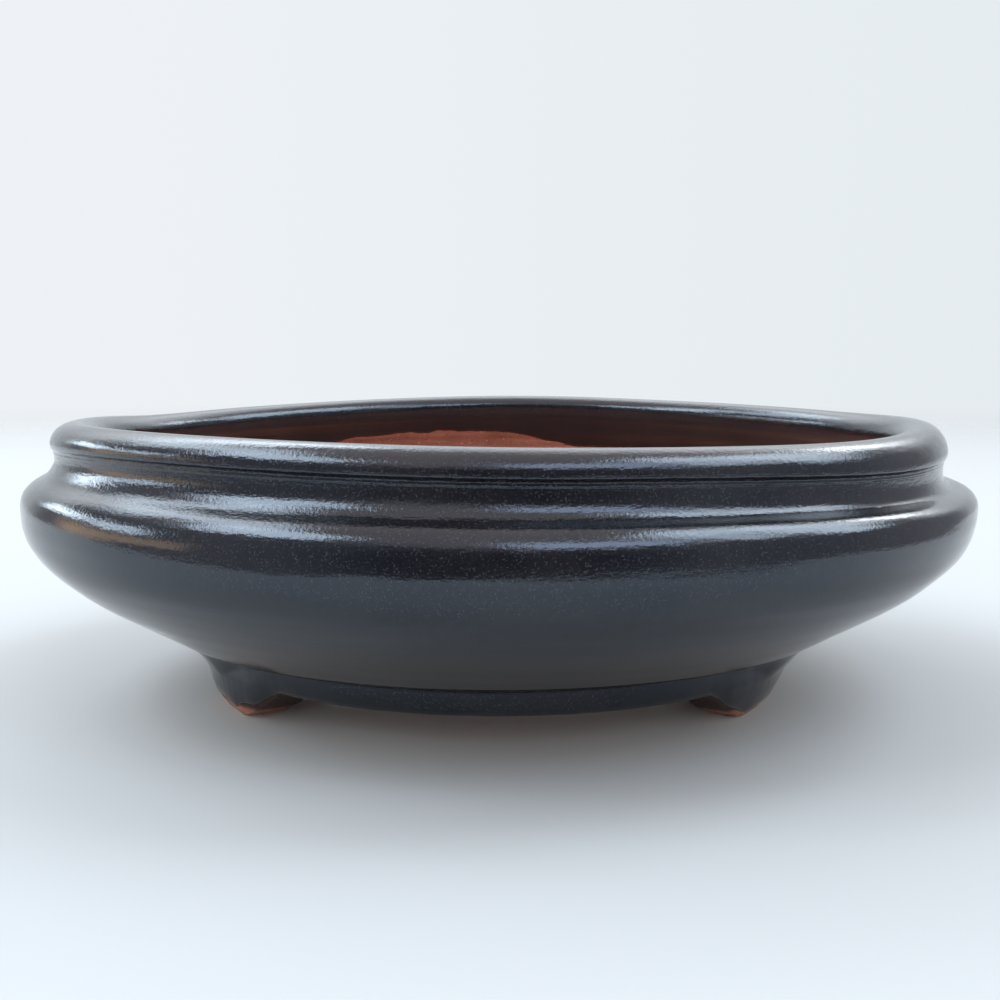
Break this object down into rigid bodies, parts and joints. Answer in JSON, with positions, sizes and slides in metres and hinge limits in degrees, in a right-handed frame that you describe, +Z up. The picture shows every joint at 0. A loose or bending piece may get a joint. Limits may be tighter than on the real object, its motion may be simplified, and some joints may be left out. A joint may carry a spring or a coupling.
{
  "type": "bonsai pot",
  "caption": "Round shallow bonsai pot with a rolled lip, necked shoulder, full belly and raised base ring on bracket feet; dark glossy glaze over red clay.",
  "frame": {"origin": "centre of the pot's axis on the surface that the feet stand on", "axes": "+Z up along the pot's axis, -Y towards the front, midway between the two front feet, +X to the right"},
  "size_m": [0.18, 0.18, 0.0525],
  "materials": {
    "bare_clay": "matte",
    "dark_glaze": "gloss"
  },
  "bodies": {
    "root": {"clay_bowl": "bare_clay", "clay_base_ring": "bare_clay", "foot_front_left": "bare_clay", "foot_front_right": "bare_clay", "foot_back": "bare_clay", "glaze_bowl": "dark_glaze", "glaze_base_ring": "dark_glaze", "glaze_foot_front_left": "dark_glaze", "glaze_foot_front_right": "dark_glaze", "glaze_foot_back": "dark_glaze"}
  },
  "joints": []
}
